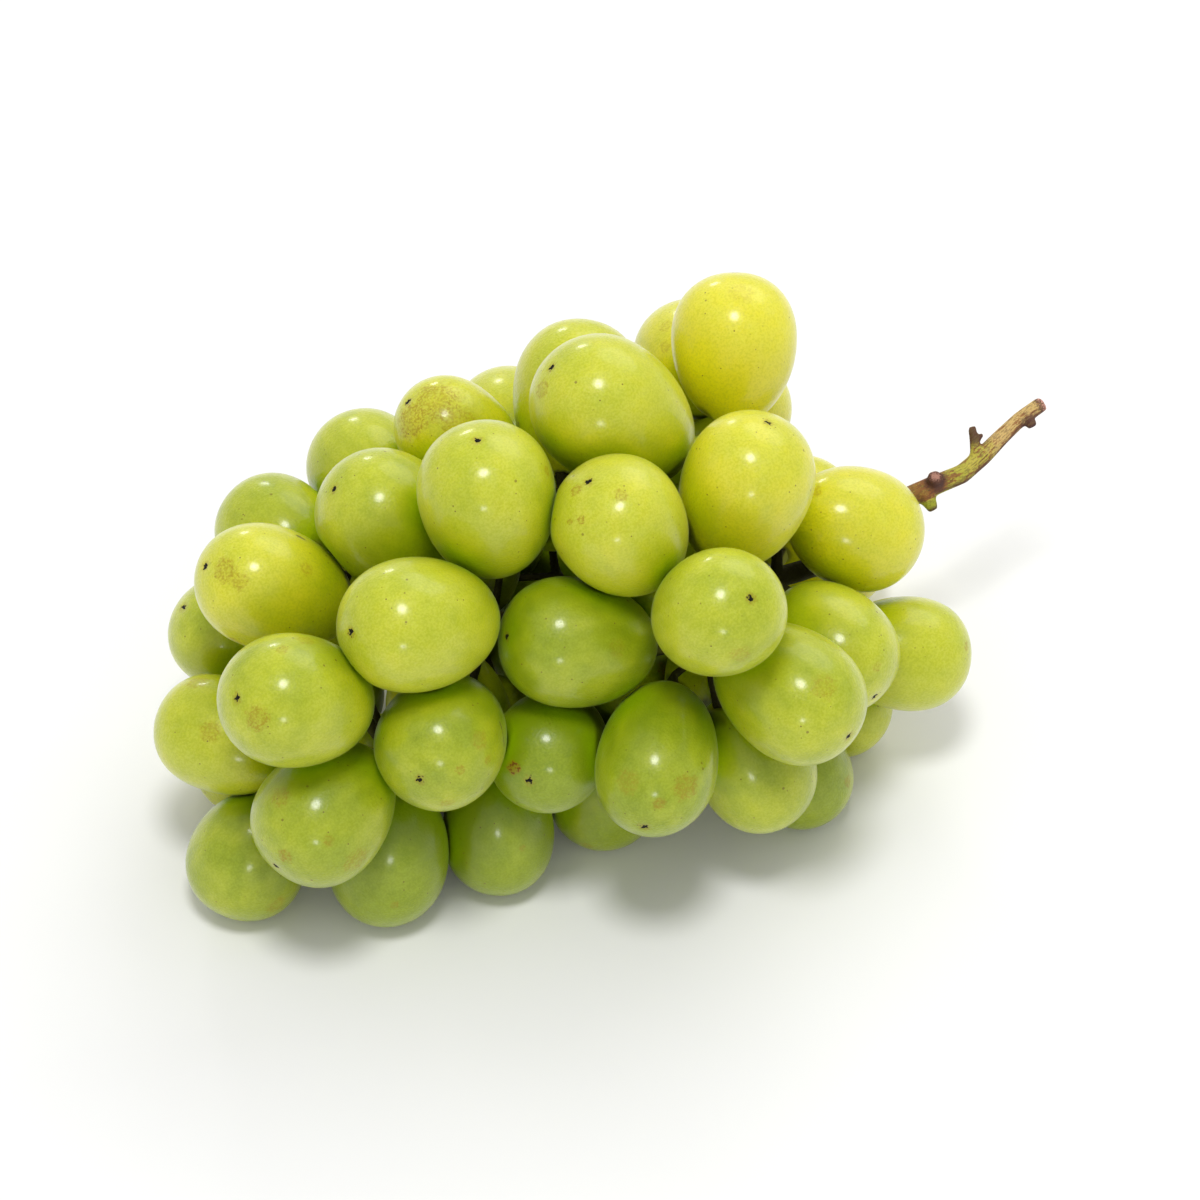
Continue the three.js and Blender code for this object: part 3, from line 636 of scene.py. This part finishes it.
def bareness(points):
    """0 for what is inside the bunch and 1 on the bare part of the stem."""
    return smooth_step(points[:, 0], BARE_FROM, BARE_TO)


def end_distances(points):
    """How far points are from each stub's end, and last from the cut end."""
    ends = [np.array(sight_point(*end[:3])) for end in [*STUB_ENDS, BARE_STEM[0]]]
    return np.array([np.linalg.norm(points - end, axis=1) for end in ends])


def stem_route():
    """Points close together on a smooth curve along the bare stem."""
    corners = np.array([sight_point(*corner) for corner in BARE_STEM])
    at = np.arange(len(corners))
    fine = np.linspace(0, at[-1], ROUTE_SAMPLES)
    route = np.column_stack([np.interp(fine, at, corners[:, i]) for i in range(3)])
    half = ROUTE_SMOOTHING // 2
    shifted = [np.arange(ROUTE_SAMPLES) + shift for shift in range(-half, half + 1)]
    return np.mean([route[np.clip(each, 0, ROUTE_SAMPLES - 1)] for each in shifted], axis=0)


def along_and_beside(points):
    """How far each point lies along the bare stem, and its place beside the stem's middle there."""
    route = stem_route()
    nearest = np.array([np.argmin(((route - point) ** 2).sum(1)) for point in points])
    way = np.gradient(route, axis=0)
    way /= np.linalg.norm(way, axis=1)[:, None]
    lengths = np.append(0, np.cumsum(np.linalg.norm(np.diff(route, axis=0), axis=1)))
    out = points - route[nearest]
    forward = np.einsum("ij,ij->i", out, way[nearest])
    return lengths[nearest] + forward, out - forward[:, None] * way[nearest]


def dress_stem(node, grapes, material):
    """A fine bark in the place of the stem's solid."""
    piece = remeshed(node, "stem_bark")
    mesh = piece.data
    points = np.array([vertex.co for vertex in mesh.vertices])
    normals = np.array([vertex.normal for vertex in mesh.vertices])
    along, beside = along_and_beside(points)
    places = beside / GRAIN_WIDTH
    places[:, 0] += along / GRAIN_LENGTH
    ridges = np.array([noise.noise(Vector(place)) for place in places])
    points += normals * (STEM_SWELL + GRAIN_DEPTH * ridges)[:, None]
    mesh.vertices.foreach_set("co", points.astype(np.float32).ravel())
    mesh.shade_smooth()
    add_values(mesh, "along", along / MM)
    add_values(mesh, "beside", beside / MM, "FLOAT_VECTOR")
    add_values(mesh, "downward", -normals[:, 2])
    add_values(mesh, "openness", openness(points, normals, grapes))
    add_values(mesh, "bare", bareness(points))
    distances = end_distances(points) / MM
    reaches = np.array([end[3] for end in STUB_ENDS])
    add_values(mesh, "from_stub", np.min(distances[:-1] / reaches[:, None], axis=0))
    add_values(mesh, "from_knob", distances[0])
    add_values(mesh, "from_cut", distances[-1])
    mesh.materials.clear()
    mesh.materials.append(material)
    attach(piece, "root")
    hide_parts(node.name)


# Materials.

class Nodes:
    """Adds nodes to a material and links them."""

    def __init__(self, name):
        self.material = bpy.data.materials.new(name)
        self.material.use_nodes = True
        self.tree = self.material.node_tree
        self.shader = next(node for node in self.tree.nodes if node.type == "BSDF_PRINCIPLED")

    def feed(self, socket, value):
        """Links a socket to an output, or gives it a value of its own."""
        if isinstance(value, bpy.types.NodeSocket):
            self.tree.links.new(value, socket)
        elif isinstance(value, tuple) and len(value) == 3 and socket.type == "RGBA":
            socket.default_value = (*value, 1)
        else:
            socket.default_value = value

    def add(self, kind, inputs=None, **settings):
        """A new node with those settings and inputs."""
        node = self.tree.nodes.new("ShaderNode" + kind)
        for name, value in settings.items():
            setattr(node, name, value)
        for name, value in (inputs or {}).items():
            self.feed(node.inputs[name], value)
        return node

    def attribute(self, name):
        return self.add("Attribute", attribute_name=name)

    def value(self, name):
        """The number that is stored for each point under that name."""
        return self.attribute(name).outputs["Fac"]

    def math(self, operation, a, b):
        return self.add("Math", {0: a, 1: b}, operation=operation).outputs[0]

    def ramp(self, value, low, high):
        """0 below low and 1 above high, smooth between. Low may be the higher one."""
        inputs = {"Value": value, "From Min": low, "From Max": high}
        return self.add("MapRange", inputs, interpolation_type="SMOOTHSTEP").outputs["Result"]

    def mix(self, share, a, b):
        """From colour a to colour b. The node's sockets for colours are those numbered 6 and 7."""
        return self.add("Mix", {0: share, 6: a, 7: b}, data_type="RGBA").outputs[2]

    def tint(self, colour, other, strength, share):
        """A colour with another laid over it, at that strength where the share is 1."""
        return self.mix(self.times(share, strength), colour, other)

    def bump(self, height, depth):
        """A surface with that relief, as deep as that in metres."""
        inputs = {"Height": height, "Strength": 1.0, "Distance": depth}
        return self.add("Bump", inputs).outputs["Normal"]

    def place(self):
        return self.add("TexCoord").outputs["Object"]

    def noise(self, size, detail, roughness=0.5):
        """Noise with features of about that size in metres, from about 0.25 to 0.75."""
        inputs = {"Vector": self.place(), "Scale": 1 / size, "Detail": detail, "Roughness": roughness}
        return self.add("TexNoise", inputs).outputs["Fac"]

    def veins(self, width, length):
        """Noise that is drawn out from the stalk to the tip of a grape, in millimetres."""
        own_place = self.attribute("own_place").outputs["Vector"]
        scales = (1 / width, 1 / width, 1 / length)
        scaled = self.add("VectorMath", {0: own_place, 1: scales}, operation="MULTIPLY").outputs[0]
        inputs = {"Vector": scaled, "W": self.value("ripeness"), "Scale": 1.0, "Detail": 2.0}
        return self.add("TexNoise", inputs, noise_dimensions="4D").outputs["Fac"]

    def grain(self, width, length, detail):
        """Noise that is drawn out along the bare stem, in millimetres."""
        turn = self.math("DIVIDE", self.value("along"), length / width)
        beside = self.attribute("beside").outputs["Vector"]
        inputs = {"Vector": beside, "W": turn, "Scale": 1 / width, "Detail": detail}
        return self.add("TexNoise", inputs, noise_dimensions="4D").outputs["Fac"]

    def times(self, *values):
        """The product of several values."""
        product = values[0]
        for value in values[1:]:
            product = self.math("MULTIPLY", product, value)
        return product

    def swing(self, value, reach):
        """A noise as a number between about minus and plus a quarter of a reach."""
        return self.times(self.math("SUBTRACT", value, 0.5), reach)

    def specks(self, spacing, radius, share):
        """Round dots of that radius, one in some cells of a grid with that spacing."""
        inputs = {"Vector": self.place(), "Scale": 1 / spacing}
        cells = self.add("TexVoronoi", inputs, feature="F1")
        dot = self.ramp(cells.outputs["Distance"], radius / spacing, 0.6 * radius / spacing)
        hue = self.add("SeparateColor", {"Color": cells.outputs["Color"]}).outputs[0]
        return self.math("MULTIPLY", dot, self.math("LESS_THAN", hue, share))

    def set(self, **values):
        """Sets the shader's inputs."""
        for name, value in values.items():
            self.feed(self.shader.inputs[name.replace("_", " ")], value)


def mark_mask(nodes, index, ragged):
    """A soft blotch, a little darker near its rim. Its place, radius and strength are stored as the
    parts of two colours."""
    mark = nodes.attribute(f"mark_{index}")
    apart = nodes.add("VectorMath", {0: nodes.place(), 1: mark.outputs["Color"]}, operation="DISTANCE")
    radius = nodes.math("MAXIMUM", mark.outputs["Alpha"], TINY)
    share = nodes.math("ADD", nodes.math("DIVIDE", apart.outputs["Value"], radius), ragged)
    inside = nodes.ramp(share, 1.25, 0.65)
    rim = nodes.math("ADD", 0.65, nodes.times(nodes.ramp(share, 0.35, 0.85), 0.35))
    strengths = nodes.attribute("strengths")
    parts = nodes.add("SeparateColor", {"Color": strengths.outputs["Color"]}).outputs
    strength = [*parts[:3], strengths.outputs["Alpha"]][index]
    return nodes.times(inside, rim, strength)


def scuff_mask(nodes, ragged):
    """A streak from one end of the scuff to the other."""
    def vector(operation, a, b):
        return nodes.add("VectorMath", {0: a, 1: b}, operation=operation).outputs

    start = nodes.attribute("scuff_start")
    along = vector("SUBTRACT", nodes.attribute("scuff_end").outputs["Vector"], start.outputs["Color"])[0]
    out = vector("SUBTRACT", nodes.place(), start.outputs["Color"])[0]
    length = vector("DOT_PRODUCT", along, along)["Value"]
    reach = vector("DOT_PRODUCT", out, along)["Value"]
    share = nodes.math("DIVIDE", reach, nodes.math("MAXIMUM", length, TINY * MM))
    share = nodes.math("MINIMUM", nodes.math("MAXIMUM", share, 0.0), 1.0)
    nearest = nodes.add("VectorMath", {0: along, "Scale": share}, operation="SCALE").outputs[0]
    apart = vector("DISTANCE", out, nearest)["Value"]
    width = nodes.math("MAXIMUM", start.outputs["Alpha"], TINY)
    return nodes.ramp(nodes.math("ADD", nodes.math("DIVIDE", apart, width), ragged), 1.3, 0.5)


def flesh_colour(nodes, ripeness, openness, fine):
    """From green through light green to yellow, with painted shade near other grapes: a purer green or
    yellow glow where they cover the skin, and near black far into the gaps.
    """
    greenish = nodes.mix(nodes.ramp(ripeness, 0.0, 0.55), YOUNG_GREEN, RIPE_GREEN)
    yellowness = nodes.ramp(ripeness, 0.4, 1.1)
    colour = nodes.mix(yellowness, greenish, RIPE_YELLOW)
    shaded = nodes.mix(yellowness, PAINTED_SHADE_GREEN, PAINTED_SHADE_YELLOW)
    # Painted shade and glow where other grapes cover the skin.
    colour = nodes.tint(colour, shaded, 0.75, nodes.ramp(openness, 0.55, 0.0))
    # Painted shade: the skin goes near black where little sky reaches it past the other grapes.
    colour = nodes.tint(colour, PAINTED_GAP_SHADE, 0.75, nodes.ramp(nodes.value("daylight"), 0.08, 0.01))
    return nodes.tint(colour, YOUNG_GREEN, 0.2, nodes.ramp(fine, 0.4, 0.7))


def bloomed_and_lit(nodes, colour, ripeness, openness, middling, fine):
    """Dusted with pale bloom, and with painted pale light where the skin lies open to the white surround,
    so less where other grapes are near.
    """
    dust = nodes.math("ADD", nodes.times(middling, 0.3), nodes.times(nodes.ramp(fine, 0.6, 0.35), 0.12))
    bloom = nodes.mix(nodes.ramp(ripeness, 0.0, 0.7), YOUNG_BLOOM_WITH_LIGHT, BLOOM_WITH_LIGHT)
    # Partly painted light: the pale bloom shows only where the skin is open to the white surround that
    # lights it.
    return nodes.mix(nodes.times(nodes.ramp(openness, 0.25, 1.0), dust), colour, bloom)


def brown_marks(nodes, ragged):
    """How marked the skin is, in small dots."""
    marks = mark_mask(nodes, 0, ragged)
    for index in range(1, MARKS_A_GRAPE):
        marks = nodes.math("MAXIMUM", marks, mark_mask(nodes, index, ragged))
    dots = nodes.ramp(nodes.noise(DOT_SIZE, 2), 0.42, 0.58)
    return nodes.times(marks, nodes.math("ADD", 0.3, nodes.times(dots, 0.7)))


def brown_specks(nodes, middling):
    """Small specks close together in some places, and a few large ones anywhere."""
    small = nodes.times(nodes.specks(*SMALL_SPECKS), nodes.ramp(middling, 0.4, 0.6))
    large = nodes.times(nodes.specks(*LARGE_SPECKS), 0.8)
    return nodes.math("MAXIMUM", small, large)


def skin_relief(nodes, scar):
    """A fine waxy grain, and the scar sunk in it."""
    grains = nodes.math("ADD", nodes.times(nodes.noise(DOT_SIZE, 2), 1.3), nodes.noise(WAX_SIZE, 1))
    return nodes.bump(nodes.math("SUBTRACT", grains, nodes.times(scar, 0.5)), SKIN_RELIEF)


def skin_material():
    """Taut waxy skin over clear flesh, green to yellow, with bloom, specks and brown marks, and with
    painted shade and painted pale light set by how other grapes cover it.
    """
    nodes = Nodes("grape_skin")
    openness = nodes.value("openness")
    middling = nodes.noise(MOTTLE_SIZE, 3)
    fine = nodes.noise(PORE_SIZE, 2)
    ragged = nodes.swing(nodes.noise(RAGGED_SIZE, 4, roughness=0.7), 1.9)
    veins = nodes.swing(nodes.veins(*VEINS), 0.3)
    wander = nodes.math("ADD", nodes.swing(nodes.noise(BLOTCH_SIZE, 2), 0.5), veins)
    ripeness = nodes.math("ADD", nodes.value("ripeness"), wander)
    marks = brown_marks(nodes, ragged)
    scuff = nodes.times(scuff_mask(nodes, ragged), nodes.ramp(middling, 0.3, 0.5))
    ragged_tip = nodes.swing(nodes.noise(SCAR_EDGE_SIZE, 3), 2.6)
    from_tip = nodes.math("ADD", nodes.value("from_tip"), ragged_tip)
    scar = nodes.ramp(from_tip, 0.62, 0.5)

    colour = flesh_colour(nodes, ripeness, openness, fine)
    colour = bloomed_and_lit(nodes, colour, ripeness, openness, middling, fine)
    colour = nodes.tint(colour, RUSSET, 0.85, marks)
    colour = nodes.tint(colour, DEEP_RUSSET, 0.8, nodes.ramp(marks, 0.85, 1.3))
    colour = nodes.tint(colour, SCUFF, 0.85, scuff)
    colour = nodes.tint(colour, SPECK, 0.75, brown_specks(nodes, middling))
    colour = nodes.tint(colour, RUSSET, 0.4, nodes.ramp(from_tip, 1.5, 0.6))
    colour = nodes.mix(scar, colour, SCAR)
    colour = nodes.mix(nodes.ramp(nodes.value("from_stalk"), 2.9, 1.9), colour, STEM_GREEN)

    rough = nodes.math("MAXIMUM", nodes.times(nodes.math("MAXIMUM", marks, scuff), 0.5), scar)
    roughness = nodes.math("ADD", 0.32, nodes.times(rough, 0.4))
    lit = nodes.ramp(nodes.value("daylight"), 0.05, 0.4)
    coat = nodes.times(nodes.math("SUBTRACT", 1.0, rough), lit, 0.58)
    nodes.set(Base_Color=colour, Roughness=roughness, Normal=skin_relief(nodes, scar), IOR=1.42)
    nodes.set(Specular_IOR_Level=0.25, Coat_Weight=coat, Coat_Roughness=0.17, Coat_IOR=1.45)
    nodes.set(Sheen_Weight=0.06, Sheen_Roughness=0.25)
    nodes.set(Subsurface_Weight=1.0, Subsurface_Radius=(0.9, 1.0, 0.10), Subsurface_Scale=FLESH_DEPTH)
    return nodes.material


def bare_bark(nodes, patches, fine, fibres):
    """Pale at the cut end and green toward the bunch, with red-brown streaks. Near the bunch it is
    red-brown above and green below. Painted shade darkens its underside, but not the green strip below."""
    along = nodes.value("along")
    downward = nodes.value("downward")
    streaks = nodes.grain(*STREAKS, 3)
    place = nodes.add("SeparateXYZ", {0: nodes.attribute("beside").outputs["Vector"]})
    above = nodes.math("ADD", place.outputs["Z"], nodes.swing(patches, 2.0))

    green = nodes.math("ADD", nodes.ramp(along, *OLIVE_ALONG), nodes.swing(patches, 1.4))
    colour = nodes.mix(nodes.ramp(green, 0.2, 0.9), STEM_PALE, STEM_OLIVE)
    greener = nodes.times(nodes.ramp(along, *GREEN_ALONG), nodes.ramp(patches, 0.4, 0.55))
    colour = nodes.tint(colour, STEM_GREEN, 0.7, greener)
    greenest = nodes.times(nodes.ramp(along, *GREEN_BELOW_ALONG), nodes.ramp(above, 0.2, -0.6))
    colour = nodes.mix(greenest, colour, STEM_GREEN)

    brown = nodes.times(nodes.ramp(along, *BROWN_ABOVE_ALONG), nodes.ramp(above, -0.2, 0.5))
    lean = nodes.math("ADD", nodes.times(downward, 0.1), nodes.swing(patches, 0.4))
    lean = nodes.math("ADD", lean, nodes.times(nodes.math("SUBTRACT", brown, greenest), 0.16))
    red = nodes.math("ADD", nodes.math("ADD", streaks, lean), nodes.swing(fine, 0.35))
    colour = nodes.tint(colour, STEM_RED, 0.85, nodes.ramp(red, 0.42, 0.56))
    colour = nodes.tint(colour, STEM_RED, 0.85, nodes.times(brown, nodes.ramp(fine, 0.25, 0.45)))
    colour = nodes.tint(colour, STEM_DARK_AND_SHADE, 0.45, nodes.ramp(fibres, 0.51, 0.6))
    # Painted shade: the underside of the bare stem is darkened, as it faces away from the light.
    shade = nodes.ramp(nodes.math("ADD", downward, nodes.swing(streaks, 1.2)), -0.45, 0.35)
    shade = nodes.times(shade, nodes.math("SUBTRACT", 1.0, greenest))
    return nodes.tint(colour, STEM_DARK_AND_SHADE, 0.8, shade)


def with_ends(nodes, colour, rough_edge):
    """Brown at every stub, pinkish on the knob, and pinkish wood in a brown ring at the cut end."""
    from_stub = nodes.math("ADD", nodes.value("from_stub"), nodes.times(rough_edge, 0.3))
    colour = nodes.tint(colour, STEM_DARK_AND_SHADE, 0.88, nodes.ramp(from_stub, 1.1, 0.6))
    from_knob = nodes.math("ADD", nodes.value("from_knob"), rough_edge)
    colour = nodes.tint(colour, CUT_WOOD, 0.5, nodes.ramp(from_knob, 1.4, 0.4))
    from_cut = nodes.math("ADD", nodes.value("from_cut"), rough_edge)
    colour = nodes.tint(colour, STEM_DARK_AND_SHADE, 0.85, nodes.ramp(from_cut, 2.6, 1.8))
    return nodes.tint(colour, CUT_WOOD, 0.8, nodes.ramp(from_cut, 1.9, 1.3))


def bark_material():
    """Streaked bark on the bare stem, green inside the bunch and darkened there with painted shade where
    grapes cover it.
    """
    nodes = Nodes("stem_bark")
    patches = nodes.noise(PATCH_SIZE, 3)
    fine = nodes.noise(PIT_SIZE, 3)
    fibres = nodes.grain(*FIBRES, 2)
    bare = nodes.value("bare")
    colour = nodes.mix(bare, STEM_GREEN, bare_bark(nodes, patches, fine, fibres))
    colour = with_ends(nodes, colour, nodes.swing(fine, 2.4))
    # Painted shade: inside the bunch the stem goes near black where the grapes around it cover it.
    deep = nodes.times(nodes.ramp(nodes.value("openness"), 0.75, 0.35), nodes.math("SUBTRACT", 1.0, bare))
    colour = nodes.tint(colour, STEM_PAINTED_SHADE, 0.95, deep)
    relief = nodes.bump(nodes.math("ADD", fibres, nodes.times(fine, 0.7)), BARK_RELIEF)
    nodes.set(Base_Color=colour, Roughness=nodes.math("ADD", 0.55, nodes.times(fine, 0.3)), Normal=relief)
    nodes.set(Specular_IOR_Level=0.2)
    nodes.set(Subsurface_Weight=0.1, Subsurface_Radius=(1.0, 0.7, 0.3), Subsurface_Scale=BARK_DEPTH)
    return nodes.material


def floor_material():
    """Matte and pale, and hardly mottled."""
    nodes = Nodes("pale_floor")
    nodes.set(Base_Color=nodes.mix(nodes.noise(50 * MM, 2), *FLOOR_SHADES), Roughness=0.9)
    return nodes.material


# The studio.

def add_floor():
    """A plain square floor that goes past the camera's view on every side."""
    corners = np.array([(-1, -1, 0), (1, -1, 0), (1, 1, 0), (-1, 1, 0)]) * FLOOR_REACH
    floor = new_piece("floor", corners, [(0, 1, 2, 3)])
    floor.data.materials.append(floor_material())


def look_at_aim(item, azimuth, elevation, distance):
    """Puts a camera or light that far from the aim, facing it."""
    back = direction(azimuth, elevation)
    item.location = AIM + back * distance
    item.rotation_euler = back.to_track_quat("Z", "Y").to_euler()
    bpy.context.scene.collection.objects.link(item)


def add_softbox(name, azimuth, elevation, distance, width, height, power):
    """An oval light that faces the aim."""
    light = bpy.data.lights.new(name, "AREA")
    light.shape = "ELLIPSE"
    light.size = width
    light.size_y = height
    light.energy = power
    look_at_aim(bpy.data.objects.new(name, light), EYE_AZIMUTH + azimuth, elevation, distance)


def add_camera():
    """The camera of the photo."""
    camera = bpy.data.cameras.new("camera")
    camera.lens = LENS_MM
    camera.sensor_width = SENSOR_MM
    item = bpy.data.objects.new("camera", camera)
    look_at_aim(item, EYE_AZIMUTH, EYE_ELEVATION, EYE_DISTANCE)
    bpy.context.scene.camera = item


def add_surround():
    """A plain white surround."""
    world = bpy.data.worlds.new("studio")
    world.use_nodes = True
    background = world.node_tree.nodes["Background"]
    background.inputs["Color"].default_value = (1, 1, 1, 1)
    background.inputs["Strength"].default_value = SURROUND_STRENGTH
    bpy.context.scene.world = world


def add_studio():
    """The surround and the soft lights: high in front, low and high behind, and low in front."""
    add_surround()
    for name, numbers in SOFTBOXES.items():
        add_softbox(name, *numbers)
    bpy.context.scene.view_settings.view_transform = "Standard"


# The whole scene.

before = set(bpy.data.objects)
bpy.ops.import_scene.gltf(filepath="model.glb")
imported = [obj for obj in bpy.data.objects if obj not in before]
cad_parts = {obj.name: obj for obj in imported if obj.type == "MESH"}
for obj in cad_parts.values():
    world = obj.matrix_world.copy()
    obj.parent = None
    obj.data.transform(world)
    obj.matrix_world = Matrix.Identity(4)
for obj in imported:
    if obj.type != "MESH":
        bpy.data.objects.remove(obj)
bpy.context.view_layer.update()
draws = np.random.default_rng(SEED)
add_camera()
add_studio()
add_floor()

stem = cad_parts["stem"]
stem_tree = BVHTree.FromObject(stem, bpy.context.evaluated_depsgraph_get())
names = sorted(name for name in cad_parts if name.startswith("grape_"))
bunch = [Grape(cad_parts[name], stem_tree) for name in names]
skin = skin_material()
skin_faces = grid_faces()
for each in bunch:
    dress_grape(each, bunch, skin_faces, skin, draws)
dress_stem(stem, bunch, bark_material())
